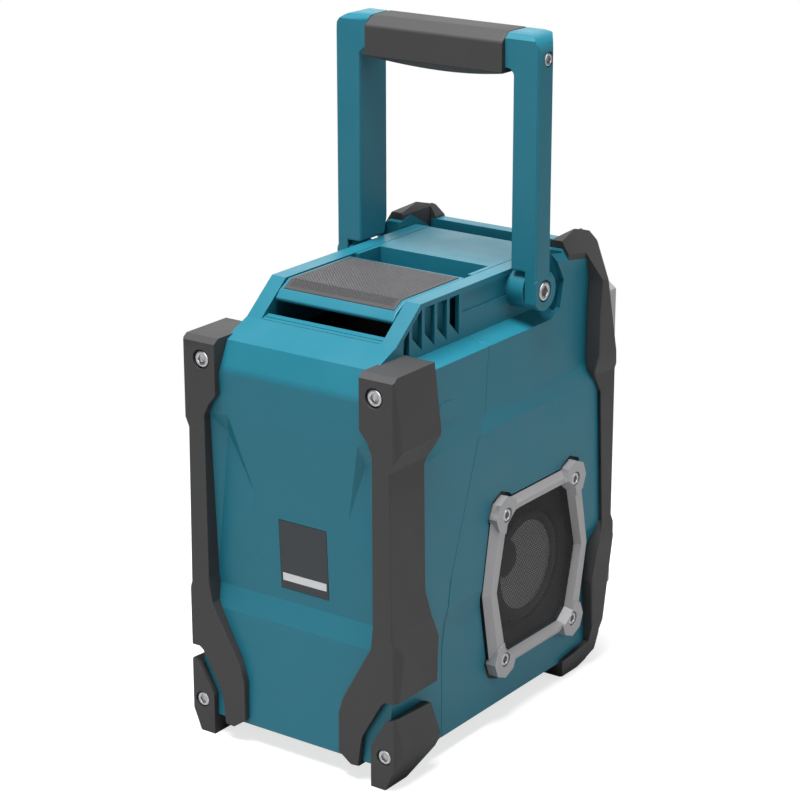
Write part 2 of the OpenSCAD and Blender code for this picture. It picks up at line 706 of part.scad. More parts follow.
// ---- front ----
module at_front(x, z) { translate([x, panel_y, z]) rotate([-90, 0, 0]) children(); }
preset_xs = [for (i = [-1.5:1:1.5]) i * (key_w + 6)];
post_x = panel_half_x - 7;
post_zs = [dial_z - 17, panel_high - 16];
module key_hole(w, h, gap) {
    translate([-w / 2 - gap, -h / 2 - gap, -over]) cube([w + 2 * gap, h + 2 * gap, panel_t + 2 * over]);
}
lens_lap = 3;
lens_t = 1.5;
module display_block(grow, y0, y1) {
    w = display_w / 2 + grow;
    h = display_h / 2 + grow;
    translate([0, panel_y, display_z]) box([-w, y0, -h], [w, y1, h]);
}
module front_panel() {
    inner = panel_half_x - 2;
    color(panel_black) {
        difference() {
            box([-panel_half_x, panel_y, panel_low], [panel_half_x, front_y + wall, panel_high]);
            box([-inner, panel_y + panel_t, panel_low + 2],
                [inner, front_y + wall + over, panel_high - 2]);
            display_block(0, -over, panel_t + over);
            display_block(lens_lap + near, -over, lens_t);
            for (x = preset_xs) at_front(x, key_row_z) key_hole(key_w, key_h, slip);
            for (x = [-side_key_x, side_key_x]) at_front(x, dial_z)
                translate([0, 0, -over]) cylinder(r = side_key_r + slip, h = panel_t + 2 * over);
            at_front(0, dial_z) translate([0, 0, -over]) cylinder(r = 5, h = panel_t + 2 * over);
            at_front(-12, flap_z) translate([0, 0, -over]) cylinder(r = 5 + near, h = panel_t + 2 * over);
            at_front(12, flap_z) key_hole(15, 8, near);
        }
        for (x = [-post_x, post_x], z = post_zs)
            translate([x, 0, z]) rod_y(3, panel_y + panel_t, board_y);
    }
}
module frame_outline(grow) {
    lug = frame_half_x + grow;
    bar = frame_half_x - 9 + grow;
    high = frame_mid_z + frame_h / 2 + grow;
    low = frame_mid_z - frame_h / 2 - grow;
    polygon(mirrored([
        [bar - 4, low], [lug, low + 10], [lug, low + 34], [bar, low + 44],
        [bar, high - 54], [lug, high - 44], [lug, high - 10], [bar - 4, high]
    ]));
}
module frame_opening(grow) {
    x = panel_half_x - 3 + grow;
    polygon(mirrored([
        [x - 12, panel_low + 5 - grow], [x, panel_low + 17 - grow], [x, panel_high - 17 + grow],
        [x - 12, panel_high - 5 + grow]
    ]));
}
frame_screws = [for (up = [-1, 1]) [frame_half_x - 8, frame_mid_z + up * (frame_h / 2 - 22)]];
module front_bezel() {
    color(satin_grey) difference() {
        along_y(front_y - trim_proud, front_y) frame_outline(0);
        along_y(front_y - trim_proud - over, front_y + over) frame_opening(0);
        box([-panel_half_x - slip, panel_y - slip, panel_low - slip],
            [panel_half_x + slip, front_y + over, panel_high + slip]);
        for (p = frame_screws) both_sides() translate([p[0], 0, p[1]]) {
            rod_y(screw_r + near, front_y - trim_proud - over, front_y + over);
            rod_y(4.8, front_y - trim_proud - over, front_y - trim_proud + head_in);
        }
    }
}
module panel_screws() {
    color(steel) for (p = frame_screws) both_sides()
        translate([p[0], front_y - trim_proud + head_in, p[1]])
            rotate([-90, 0, 0]) screw(4.2, 2, screw_r, trim_proud + 3);
}
module display_lens() { color([0.2, 0.3, 0.32]) display_block(lens_lap, 0, lens_t); }
module display_module() {
    color([0.55, 0.6, 0.55]) display_block(lens_lap + 1, panel_t, panel_t + 5);
}
module main_board() {
    color([0.1, 0.35, 0.2])
        box([-post_x - 4, board_y, post_zs[0] - 4], [post_x + 4, board_y + board_t, post_zs[1] + 4]);
}
key_places = concat([for (x = preset_xs) [x, key_row_z]], [[-side_key_x, dial_z], [side_key_x, dial_z]]);
side_key_r = 8;
key_proud = 1.8;
key_lap = 1.2;
flange_key_t = 1.4;
switch_h = 3.5;
stem_end = board_y - switch_h - slip - key_travel;
module key_switches() {
    color([0.25, 0.25, 0.25]) for (p = key_places)
        box([p[0] - 3, board_y - switch_h, p[1] - 3], [p[0] + 3, board_y, p[1] + 3]);
}
module key_stem(p) { translate([p[0], 0, p[1]]) rod_y(2, panel_y + panel_t, stem_end); }
module preset_key(i) {
    p = key_places[i - 1];
    w = key_w / 2;
    h = key_h / 2;
    color([0.5, 0.5, 0.52]) {
        translate([p[0], panel_y, p[1]]) {
            box([-w, -key_proud, -h], [w, panel_t, h]);
            box([-w - key_lap, panel_t, -h - key_lap], [w + key_lap, panel_t + flange_key_t, h + key_lap]);
        }
        key_stem(p);
    }
}
module side_key(i) {
    p = key_places[i];
    color([0.5, 0.5, 0.52]) {
        translate([p[0], 0, p[1]]) {
            rod_y(side_key_r, panel_y - key_proud, panel_y + panel_t);
            rod_y(side_key_r + key_lap, panel_y + panel_t, panel_y + panel_t + flange_key_t);
        }
        key_stem(p);
    }
}
module encoder_body() {
    color([0.4, 0.4, 0.42]) difference() {
        translate([0, 0, dial_z]) box([-7, board_y - 7, -7], [7, board_y, 7]);
        translate([0, 0, dial_z]) rod_y(3 + run, board_y - 7 - over, board_y - 1);
    }
}
module encoder_shaft() {
    color(steel) translate([0, 0, dial_z]) rod_y(3, panel_y - 6, board_y - 1.5);
}
module tuning_dial() {
    notches = 30;
    color([0.13, 0.13, 0.14]) translate([0, 0, dial_z]) difference() {
        union() {
            rod_y(dial_r, panel_y - 7, panel_y - 0.5);
            translate([0, panel_y - 8.6, 0]) rotate([-90, 0, 0])
                cylinder(r1 = dial_r - 2, r2 = dial_r, h = 1.6);
        }
        for (i = [0:notches - 1]) rotate([0, i * 360 / notches, 0])
            translate([dial_r + 0.4, 0, 0]) rod_y(1.1, panel_y - 9, panel_y + 1);
        rod_y(3 + near, panel_y - 6 - near, panel_y + 1);
        translate([dial_r * 0.62, 0, 0]) rod_y(3, panel_y - 9.6, panel_y - 7.8);
    }
}
module aux_socket() {
    color([0.2, 0.2, 0.2]) translate([-12, 0, flap_z]) difference() {
        union() {
            rod_y(5, panel_y + 0.4, panel_y + panel_t);
            rod_y(6.5, panel_y + panel_t, panel_y + panel_t + 10);
        }
        rod_y(1.8, panel_y - over, panel_y + panel_t + 8);
    }
}
module usb_socket() {
    color([0.7, 0.7, 0.72]) translate([12, 0, flap_z]) difference() {
        union() {
            box([-7.5, panel_y + 0.4, -4], [7.5, panel_y + panel_t, 4]);
            box([-9, panel_y + panel_t, -5], [9, panel_y + panel_t + 12, 5]);
        }
        box([-6.2, panel_y - over, -2.6], [6.2, panel_y + panel_t + 9, 2.6]);
    }
}
module port_flap() {
    bead_r = flap_t / 2;
    color([0.12, 0.12, 0.12]) translate([0, panel_y - flap_gap, flap_z]) {
        box([-flap_w / 2, -flap_t, -flap_h / 2], [flap_w / 2, 0, flap_h / 2]);
        translate([0, -bead_r, -flap_h / 2]) rod_x(bead_r, -flap_w / 2, flap_w / 2);
        box([-8, -flap_t - 1.2, flap_h / 2 - 4], [8, -flap_t, flap_h / 2]);
    }
}

// ---- battery bay ----
bay_x = lid_half - 3;
bay_front = lid_front + 8;
bay_rear = sill_y - sill_d - 2;
bay_floor = top_z - bay_d;
module battery_tray() {
    t = 2.5;
    color([0.16, 0.16, 0.17]) difference() {
        union() {
            box([-bay_x, bay_front, bay_floor - t], [bay_x, bay_rear, top_z]);
            box([-bay_x - 2.5, bay_front + 4, top_z], [bay_x + 2.5, bay_rear + 1.5, top_z + 2]);
        }
        box([-bay_x + t, bay_front + t, bay_floor], [bay_x - t, bay_rear - t, top_z + 2 + over]);
    }
}
module blades(gap) {
    for (x = [-15:10:15]) translate([x, (bay_front + bay_rear) / 2, bay_floor + 3])
        box([-0.5 - gap, -5 - gap, 0], [0.5 + gap, 5 + gap, 14]);
}
module terminal_block() {
    color([0.75, 0.6, 0.15]) difference() {
        translate([0, (bay_front + bay_rear) / 2, bay_floor]) box([-22, -14, 0], [22, 14, 9]);
        blades(near);
    }
}
module terminal_blades() { color([0.8, 0.65, 0.3]) blades(0); }
lid_rear = lid_front + lid_d;
lid_lug_x = lid_half - 14.5;
lid_lug_r = 3.2;
module battery_lid() {
    half = lid_half - 0.2;
    plate_z = deck_top - 0.4;
    color(teal) difference() {
        union() {
            along_x(-half, half) polygon([
                [lid_front, plate_z], [lid_front, plate_z - lid_t], [lid_rear - 15, plate_z - lid_t],
                [lid_rear - 6, plate_z - 5.1 - lid_t], [lid_rear - 1.4, plate_z - 11.8],
                [lid_rear, plate_z - 9.6], [lid_rear - 4.2, plate_z - 5], [lid_rear - 13.2, plate_z]
            ]);
            both_sides() {
                translate([lid_lug_x, hinge_y, hinge_z]) {
                    rod_x(lid_lug_r, -4, 4);
                    box([-4, -lid_lug_r, 0], [4, lid_lug_r, deck_top - lid_t - hinge_z]);
                }
            }
        }
        pad_form(near, near);
        translate([0, hinge_y, hinge_z]) rod_x(lid_pin_r + run, -half, half);
    }
}
module pad_form(side_gap, base_gap) {
    half = lid_half - 3;
    low = deck_top - 1.6;
    along_x(-half - side_gap, half + side_gap) polygon([
        [lid_front + 3 - side_gap, low - base_gap], [lid_front + 3 - side_gap, low + pad_t],
        [lid_rear - 12.8, low + pad_t], [lid_rear - 5 + side_gap, low - 4.6 + pad_t],
        [lid_rear - 5.6 + side_gap, low - 4.6 - base_gap], [lid_rear - 13.4, low - base_gap]
    ]);
}
module lid_pad() { color([0.3, 0.3, 0.31]) pad_form(0, 0); }
module lid_hinge_pin() {
    color(steel) translate([0, hinge_y, hinge_z]) rod_x(lid_pin_r, -lid_half, lid_half);
}

// ---- handle ----
module arm_outline() {
    corner_z = handle_top - bend_r;
    polygon([[arm_in, pivot_z - 20], [arm_out, pivot_z - 20], [arm_out, corner_z], [arm_in, corner_z]]);
    polygon([[grip_l / 2, handle_top - stub_h], [arm_out - bend_r, handle_top - stub_h],
        [arm_out - bend_r, handle_top], [grip_l / 2, handle_top]]);
    intersection() {
        translate([arm_out - bend_r, corner_z]) circle(r = bend_r);
        translate([arm_out - bend_r, corner_z]) square(bend_r);
    }
    translate([arm_in, handle_top - stub_h]) polygon([[-3, 0], [0, -3], [1, 0]]);
}
module handle_arm(side) {
    color(teal) on_side(side) difference() {
        union() {
            intersection() {
                along_y(arm_front, arm_rear) arm_outline();
                translate([0, 0, pivot_z - 30]) linear_extrude(handle_reach + 40) polygon([
                    [arm_out, arm_rear - 1.5], [arm_out - 1.5, arm_rear], [0, arm_rear], [0, arm_front],
                    [arm_out - 10.4, arm_front], [arm_out, arm_front + 14.5]
                ]);
                along_x(0, arm_out) polygon([
                    [arm_rear, pivot_z], [arm_rear, handle_top - 3.6], [arm_rear - 4, handle_top - 0.6],
                    [arm_rear - 8, handle_top], [arm_front + 7, handle_top], [arm_front, handle_top - 7],
                    [arm_front, pivot_z + 24], [pivot_y - pivot_boss_r, pivot_z]
                ]);
            }
            intersection() {
                translate([0, pivot_y, pivot_z]) rod_x(pivot_boss_r, cheek_in, arm_out);
                box([0, arm_front, pivot_z - 20], [arm_out, arm_rear, pivot_z + 20]);
            }
        }
        box([0, arm_front - over, pivot_z - 20],
            [cheek_in, arm_rear + over, pivot_z + pivot_boss_r + slip]);
        translate([0, pivot_y, pivot_z]) {
            rod_x(pivot_r + run, cheek_in - over, arm_out + over);
            rod_x(pivot_head_r + 0.8, arm_out - head_in, arm_out + over);
        }
        translate([0, core_y, core_z]) {
            rod_x(core_r + near, 0, core_reach + near);
            rod_x(screw_r + near, 0, arm_out + over);
            rod_x(4.8, arm_out - head_in, arm_out + over);
        }
    }
}
module handle_grip() {
    sag = 5;
    arch_r = (pow(grip_l / 2, 2) + sag * sag) / (2 * sag);
    low = handle_top - grip_h;
    color(rubber_grey) difference() {
        intersection() {
            along_x(-grip_l / 2 + slip, grip_l / 2 - slip) polygon([
                [grip_rear, low + grip_bevel], [grip_rear, handle_top - grip_bevel],
                [grip_rear - 1.2 * grip_bevel, handle_top - 0.8], [grip_rear - 1.8 * grip_bevel, handle_top],
                [grip_front + grip_bevel, handle_top], [grip_front, handle_top - grip_bevel],
                [grip_front, low + grip_bevel], [grip_front + 1.2 * grip_bevel, low],
                [grip_rear - 1.4 * grip_bevel, low]
            ]);
            translate([0, 0, low + arch_r]) rod_y(arch_r, grip_front - over, grip_rear + over, $fn = 240);
        }
        translate([0, core_y, core_z]) rod_x(core_r + near, -grip_l, grip_l);
    }
}
module handle_core() {
    color(steel) translate([0, core_y, core_z]) difference() {
        rod_x(core_r, -core_reach, core_reach);
        both_sides() rod_x(screw_r + near, core_reach - 14, core_reach + over);
    }
}
module handle_screws() {
    color(steel) both_sides() translate([arm_out - head_in, core_y, core_z]) rotate([0, -90, 0])
        screw(4.2, 2, screw_r, arm_out - head_in - core_reach + 12);
}
module pivot_screws() {
    color(steel) both_sides() translate([0, pivot_y, pivot_z]) difference() {
        union() {
            rod_x(pivot_r, deck_w / 2 - wall, arm_out - head_in + slip);
            rod_x(pivot_head_r, arm_out - head_in + slip, arm_out);
        }
        rod_x(2.6, arm_out - 1, arm_out + over, $fn = 6);
    }
}

// ---- pieces ----
front_housing();
rear_cover();
top_deck();
deck_insert();
rear_bumper(-1);  // rear_bumper_left
rear_bumper(1);  // rear_bumper_right
front_bumper(-1);  // front_bumper_left
front_bumper(1);  // front_bumper_right
rear_foot(-1);  // rear_foot_left
rear_foot(1);  // rear_foot_right
bumper_screws();
label_plate();
speaker_bezel(-1);  // speaker_bezel_left
speaker_bezel(1);  // speaker_bezel_right
speaker_grille(-1);  // speaker_grille_left
speaker_grille(1);  // speaker_grille_right
speaker_gasket(-1);  // speaker_gasket_left
speaker_gasket(1);  // speaker_gasket_right
speaker_basket(-1);  // speaker_basket_left
speaker_basket(1);  // speaker_basket_right
speaker_cone(-1);  // speaker_cone_left
speaker_cone(1);  // speaker_cone_right
speaker_magnet(-1);  // speaker_magnet_left
speaker_magnet(1);  // speaker_magnet_right
bezel_screws();
front_panel();
front_bezel();
panel_screws();
display_lens();
display_module();
main_board();
key_switches();
encoder_body();
aux_socket();
usb_socket();
battery_tray();
terminal_block();
terminal_blades();
lid_hinge_pin();
pivot_screws();
handle_arm(-1);  // handle_arm_left
handle_arm(1);  // handle_arm_right
handle_grip();
handle_core();
handle_screws();
battery_lid();
lid_pad();
tuning_dial();
encoder_shaft();
side_key(4);  // power_key
side_key(5);  // source_key
preset_key(1);  // preset_key_1
preset_key(2);  // preset_key_2
preset_key(3);  // preset_key_3
preset_key(4);  // preset_key_4
port_flap();
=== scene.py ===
import json
import math

import bmesh
import bpy
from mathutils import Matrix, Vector
from mathutils.bvhtree import BVHTree

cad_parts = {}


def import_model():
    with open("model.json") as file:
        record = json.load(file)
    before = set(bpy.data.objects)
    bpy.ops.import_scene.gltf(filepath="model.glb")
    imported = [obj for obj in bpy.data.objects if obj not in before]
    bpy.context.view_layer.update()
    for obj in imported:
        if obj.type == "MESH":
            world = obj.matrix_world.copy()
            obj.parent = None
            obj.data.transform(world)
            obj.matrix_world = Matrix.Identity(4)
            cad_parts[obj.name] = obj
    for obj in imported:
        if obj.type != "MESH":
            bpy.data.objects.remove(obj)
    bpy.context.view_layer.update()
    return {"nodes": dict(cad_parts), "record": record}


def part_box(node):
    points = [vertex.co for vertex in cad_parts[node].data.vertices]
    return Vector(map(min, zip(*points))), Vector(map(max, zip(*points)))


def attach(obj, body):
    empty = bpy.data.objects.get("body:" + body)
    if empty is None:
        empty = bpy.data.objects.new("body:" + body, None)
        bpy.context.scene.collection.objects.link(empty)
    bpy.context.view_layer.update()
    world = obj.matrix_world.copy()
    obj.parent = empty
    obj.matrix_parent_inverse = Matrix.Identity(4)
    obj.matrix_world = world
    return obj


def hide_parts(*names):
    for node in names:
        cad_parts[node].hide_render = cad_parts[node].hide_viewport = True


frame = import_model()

MM = 0.001
record = frame["record"]
body_of = {node: body for body, nodes in record["behaviour"]["bodies"].items() for node in nodes}
slot_of = {row["node"]: row["material_slot"] for row in record["subparts"]}


# ---- trees of nodes ----
def add(tree, kind, links=None, **settings):
    """Adds a node; links gives each input a value or the output that feeds it."""
    made = tree.nodes.new(kind)
    for key, value in settings.items():
        setattr(made, key, value)
    for key, value in (links or {}).items():
        if isinstance(value, bpy.types.NodeSocket):
            tree.links.new(value, made.inputs[key])
        else:
            made.inputs[key].default_value = value
    return made


def linear(red, green, blue):
    """A screen colour from 0 to 255 as a shader colour."""
    def channel(value):
        share = value / 255
        return share / 12.92 if share <= 0.04045 else ((share + 0.055) / 1.055) ** 2.4
    return (channel(red), channel(green), channel(blue), 1)


def shade(colour, factor):
    """The colour made lighter or darker, up to white."""
    return tuple(min(1, channel * factor) for channel in colour[:3]) + (1,)


# ---- finishes ----
CLOUD_SCALE = 38.0          # how fine the clouds of colour are
CLOUD_RANGE = (0.3, 0.7)    # values of the clouds between which the roughness varies
GLOSS_SPREAD = 0.05         # how far the roughness varies to either side
LEAST_ROUGH = 0.02


def finish(name, colour, rough, grain=0.4, depth=0.012, fade=0.05, metal=0.0, specular=0.36):
    """A surface with a grain in millimetres, faint clouds of colour and a roughness that varies a little."""
    material = bpy.data.materials.new(name)
    material.use_nodes = True
    tree = material.node_tree
    shader = tree.nodes["Principled BSDF"]
    place = add(tree, "ShaderNodeTexCoord").outputs["Object"]
    cloud = add(tree, "ShaderNodeTexNoise", {"Vector": place, "Scale": CLOUD_SCALE, "Detail": 4.0})
    tint = add(tree, "ShaderNodeMix", {"Factor": cloud.outputs["Fac"]}, data_type="RGBA")
    tint.inputs[6].default_value = shade(colour, 1 - fade)
    tint.inputs[7].default_value = shade(colour, 1 + fade)
    tree.links.new(tint.outputs[2], shader.inputs["Base Color"])
    gloss = add(tree, "ShaderNodeMapRange", {
        "Value": cloud.outputs["Fac"], "From Min": CLOUD_RANGE[0], "From Max": CLOUD_RANGE[1],
        "To Min": max(LEAST_ROUGH, rough - GLOSS_SPREAD), "To Max": rough + GLOSS_SPREAD})
    tree.links.new(gloss.outputs["Result"], shader.inputs["Roughness"])
    speck = add(tree, "ShaderNodeTexNoise", {"Vector": place, "Scale": 1 / (grain * MM), "Detail": 2.0})
    bump = add(tree, "ShaderNodeBump", {
        "Height": speck.outputs["Fac"], "Strength": 1.0, "Distance": depth * MM})
    tree.links.new(bump.outputs["Normal"], shader.inputs["Normal"])
    shader.inputs["Metallic"].default_value = metal
    shader.inputs["Specular IOR Level"].default_value = specular
    return material


def clear_window(name):
    """The clear plastic over the display."""
    material = finish(name, linear(205, 214, 214), 0.06, grain=3, depth=0.002)
    shader = material.node_tree.nodes["Principled BSDF"]
    shader.inputs["Transmission Weight"].default_value = 0.92
    shader.inputs["IOR"].default_value = 1.49
    return material


FINISHES = {
    "cabinet_plastic": finish("moulded_teal", linear(26, 106, 124), 0.4, grain=0.5, fade=0.03),
    "bumper_rubber": finish("bumper_rubber", linear(57, 57, 58), 0.55, depth=0.02, fade=0.07),
    "grip_rubber": finish("grip_rubber", linear(56, 56, 56), 0.6, grain=0.6, depth=0.04, fade=0.08),
    "pad_rubber": finish("pad_rubber", linear(60, 59, 61), 0.5, depth=0.02, fade=0.06),
    "trim_plastic": finish("satin_silver_paint", linear(160, 159, 161), 0.36, grain=0.25, depth=0.004,
                           fade=0.03, metal=0.2, specular=0.5),
    "panel_plastic": finish("panel_black", linear(26, 26, 28), 0.4, grain=0.3, depth=0.01),
    "key_plastic": finish("key_grey", linear(118, 119, 122), 0.45, grain=0.3, depth=0.008),
    "dial_plastic": finish("dial_black", linear(38, 38, 40), 0.35, grain=0.3, depth=0.008),
    "grille_steel": finish("grille_black_paint", linear(50, 50, 51), 0.42, grain=0.3, depth=0.004),
    "lens": clear_window("display_window"),
    "display": finish("display_glass", linear(150, 166, 148), 0.3, grain=2, depth=0.003),
    "board": finish("board_lacquer", linear(28, 92, 52), 0.3, grain=1.2, depth=0.01),
    "inner_plastic": finish("inner_black", linear(26, 26, 27), 0.6, depth=0.01),
    "cone_paper": finish("cone_paper", linear(196, 196, 198), 0.75, grain=0.8, depth=0.03, fade=0.06),
    "gasket_foam": finish("gasket_foam", linear(30, 30, 30), 0.95, grain=0.6, depth=0.08),
    "magnet_metal": finish("magnet_ferrite", linear(80, 80, 82), 0.5, depth=0.01),
    "basket_metal": finish("basket_steel", linear(70, 70, 73), 0.45, grain=0.5, depth=0.008, metal=0.4),
    "terminal_plastic": finish("terminal_yellow", linear(205, 160, 40), 0.45, depth=0.008),
    "terminal_metal": finish("terminal_brass", linear(205, 175, 105), 0.3, grain=0.6, depth=0.003,
                             metal=1.0),
    "steel": finish("zinc_steel", linear(196, 196, 199), 0.25, grain=0.6, depth=0.003, metal=1.0),
    "label": finish("rating_plate", linear(50, 56, 60), 0.35, grain=0.6, depth=0.003),
}
WHITE_PRINT = finish("white_print", linear(205, 207, 208), 0.45, grain=0.5, depth=0.003, fade=0.02)
DARK_PRINT = finish("dark_print", linear(30, 34, 32), 0.45, grain=0.5, depth=0.003, fade=0.02)


# ---- pieces and the solids they come from ----
SAME_POINT = 2e-6       # metres; corners nearer than this are one
CREASE_STEP = 0.6       # degrees; a flatter edge lies inside one flat area
CURVE_STEP = 9          # degrees between the flats of a curved face, at most
SLIVER = 8e-6           # metres; a face thinner than this joins its neighbour
SLIVER_TURN = 0.5       # radians between a sliver and its neighbour, at most
FREE_EDGE_TURN = 4      # stands for the turn at an edge with one face, so that it counts as steep


def settle(piece, body, slot, *nodes):
    """The piece rides on its body and stands for the CAD nodes; the slot is not used."""
    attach(piece, body)
    if nodes:
        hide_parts(*nodes)
    return piece


def new_piece(name, mesh):
    """An object at the origin for a mesh."""
    piece = bpy.data.objects.new(name, mesh)
    bpy.context.scene.collection.objects.link(piece)
    return piece


def surface(node):
    """A search tree of a node's faces."""
    form = bmesh.new()
    form.from_mesh(frame["nodes"][node].data)
    tree = BVHTree.FromBMesh(form)
    form.free()
    return tree


def merged(node):
    """The CAD node's faces with shared corners and whole flat areas."""
    form = bmesh.new()
    form.from_mesh(frame["nodes"][node].data)
    bmesh.ops.remove_doubles(form, verts=form.verts, dist=SAME_POINT)
    bmesh.ops.dissolve_limit(form, angle_limit=math.radians(CREASE_STEP), verts=form.verts, edges=form.edges)
    thin = []
    for face in form.faces:
        longest = max(face.edges, key=lambda edge: edge.calc_length())
        is_thin = face.calc_area() < SLIVER * longest.calc_length()
        if is_thin and longest.calc_face_angle(FREE_EDGE_TURN) < SLIVER_TURN and longest not in thin:
            thin.append(longest)
    bmesh.ops.dissolve_edges(form, edges=thin)
    form.edges.index_update()
    return form


# ---- rounded copies of the solids ----
PARALLEL = 0.998        # how far two edges have to agree to count as parallel
NO_LENGTH = 1e-18       # square metres; keeps a division by a stretch without length from failing
ROOM_SHARE = 0.42       # share of the free length beside an edge that its rounding may take
LEAST_SHARE = 0.06      # a rounding with less of its width than this is left out
ROUNDS = 9              # tries to clear the faults of a rounding
FAULT_TURN = 0.45       # a face whose direction agrees less than this with the solid's is a fault
FAULT_AREA = 1e-10      # square metres; a smaller triangle is never a fault
FAULT_REACH = 1.6       # how many widths of its rounding a fault lies from its edge, at most
FAULT_MIDDLE = 3 * MM   # how far a fault's middle may lie from its edge in any case
HARD_EDGE = 40          # degrees; a steeper edge is shaded as a sharp one
AREA_WEIGHT = 70        # how far wide faces rule the shading of their corners


def off_line(point, start, end):
    """Distance of a point from a straight stretch."""
    along = end - start
    share = (point - start).dot(along) / max(along.length_squared, NO_LENGTH)
    return (point - start - along * min(1, max(0, share))).length


def room_beside(edge):
    """The least free length round an edge, so that its rounding reaches no other edge."""
    start, end = (vert.co for vert in edge.verts)
    room = min(other.calc_length() for vert in edge.verts for other in vert.link_edges)
    for face in edge.link_faces:
        for other in face.edges:
            if set(other.verts) & set(edge.verts):
                continue
            first, last = (vert.co for vert in other.verts)
            room = min(room, off_line(start, first, last), off_line(end, first, last),
                       off_line(first, start, end), off_line(last, start, end))
    return room


def is_curve(edge, angles):
    """Whether the edge lies between two flats of a curved face."""
    if not CREASE_STEP < angles[edge.index] < CURVE_STEP:
        return False
    along = (edge.verts[1].co - edge.verts[0].co).normalized()
    for face in edge.link_faces:
        for other in face.edges:
            if other != edge and CREASE_STEP < angles[other.index] < CURVE_STEP:
                beside = (other.verts[1].co - other.verts[0].co).normalized()
                if abs(beside.dot(along)) > PARALLEL:
                    return True
    return False


def first_shares(form, angles, crisp, width, sharp):
    """How much of the width each edge's rounding takes at first, from 0 to 1."""
    shares = [0.0] * len(angles)
    for edge in form.edges:
        if angles[edge.index] > sharp and crisp[edge.index]:
            share = min(1, ROOM_SHARE * room_beside(edge) / width)
            shares[edge.index] = share if share > LEAST_SHARE else 0
    return shares


def faults(piece, solid, reach, least_turn):
    """Triangles of a rounded piece that lie or turn away from the solid."""
    seen = piece.evaluated_get(bpy.context.evaluated_depsgraph_get())
    mesh = seen.to_mesh()
    mesh.calc_loop_triangles()
    found = []
    for triangle in mesh.loop_triangles:
        corners = [mesh.vertices[index].co.copy() for index in triangle.vertices]
        middle = (corners[0] + corners[1] + corners[2]) / 3
        facing, distance = solid.find_nearest(middle)[1::2]
        normal = (corners[1] - corners[0]).cross(corners[2] - corners[0]).normalized()
        if triangle.area > FAULT_AREA and (distance > reach or normal.dot(facing) < least_turn):
            found.append((middle, corners))
    seen.to_mesh_clear()
    return found


def ease(form, shares, wrong, width):
    """Halves the rounding of each edge beside a fault, or leaves it out where it is narrow already."""
    for edge in form.edges:
        share = shares[edge.index]
        start, end = (vert.co for vert in edge.verts)
        reach = FAULT_REACH * width * share
        if share and any(off_line(middle, start, end) < max(reach, FAULT_MIDDLE)
                         and min(off_line(corner, start, end) for corner in corners) < reach
                         for middle, corners in wrong):
            shares[edge.index] = share / 2 if share > 2 * LEAST_SHARE else 0


def keep_rounding(piece):
    """Makes the rounding part of the mesh, with a sharp mark on each edge that it left hard."""
    plain = piece.data
    mesh = bpy.data.meshes.new_from_object(piece.evaluated_get(bpy.context.evaluated_depsgraph_get()))
    marked = [edge.index for edge in mesh.edges if edge.use_edge_sharp]
    mesh.set_sharp_from_angle(angle=math.radians(HARD_EDGE))
    for index in marked:
        mesh.edges[index].use_edge_sharp = True
    piece.modifiers.clear()
    piece.data = mesh
    bpy.data.meshes.remove(plain)
    mesh.name = piece.name


def dressed(node, width, kind, segments=3, sharp=24, paint=None, least_turn=FAULT_TURN):
    """A copy of the CAD node with its edges rounded to a width in millimetres; where that fails, less.

    Edges steeper than sharp, in degrees, are rounded; paint gives the slot and the faces of a second finish.
    """
    width *= MM
    solid = surface(node)
    form = merged(node)
    angles = [math.degrees(edge.calc_face_angle(0)) for edge in form.edges]
    crisp = [not is_curve(edge, angles) for edge in form.edges]
    shares = first_shares(form, angles, crisp, width, sharp)
    for face in form.faces:
        face.smooth = True
        face.material_index = 1 if paint and paint[1](face) else 0
    mesh = bpy.data.meshes.new(f"{node}_{kind}")
    form.to_mesh(mesh)
    mesh.materials.append(FINISHES[slot_of[node]])
    if paint:
        mesh.materials.append(FINISHES[paint[0]])
    mesh.attributes.new("bevel_weight_edge", "FLOAT", "EDGE").data.foreach_set("value", shares)
    piece = new_piece(mesh.name, mesh)
    rounding = piece.modifiers.new("rounding", "BEVEL")
    rounding.limit_method = "WEIGHT"
    rounding.width = width
    rounding.segments = segments
    rounding.use_clamp_overlap = False
    rounding.face_strength_mode = "FSTR_ALL"
    for _ in range(ROUNDS):
        wrong = faults(piece, solid, width, least_turn)
        if not wrong:
            break
        ease(form, shares, wrong, width)
        mesh.attributes["bevel_weight_edge"].data.foreach_set("value", shares)
        mesh.update()
    edge_is_sharp = [crease and not share for crease, share in zip(crisp, shares)]
    mesh.attributes.new("sharp_edge", "BOOLEAN", "EDGE").data.foreach_set("value", edge_is_sharp)
    form.free()
    keep_rounding(piece)
    evening = piece.modifiers.new("even_shading", "WEIGHTED_NORMAL")
    evening.mode = "FACE_AREA"
    evening.weight = AREA_WEIGHT
    evening.keep_sharp = True
    evening.use_face_influence = True
    return settle(piece, body_of[node], slot_of[node], node)


# ---- faces with a second finish ----
GRILLE_LOW, GRILLE_HIGH = (Vector(corner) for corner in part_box("speaker_grille_right"))
SPEAKER_MIDDLE = (GRILLE_LOW + GRILLE_HIGH) / 2
WELL_REACH = 55 * MM
WELL_FRONT = GRILLE_LOW.x + 0.1 * MM
BEZEL_CORNER = Vector((0, 30, 39)) * MM     # where the screws' corners begin, from the speaker's axis
LOOKS_OUT = 0.5                             # a face looks out if its direction has this much along X
DUST_CAP_RADIUS = 12.3 * MM
PAPER_RADIUS = 29.2 * MM


def off_speaker(face):
    """A face's middle, seen from the speaker's axis."""
    return (face.calc_center_median() - SPEAKER_MIDDLE) * Vector((0, 1, 1))


def in_speaker_well(face):
    """Whether a face lies in the recess behind a grille; these faces take the black finish as painted shade.
    """
    return off_speaker(face).length < WELL_REACH and abs(face.calc_center_median().x) < WELL_FRONT


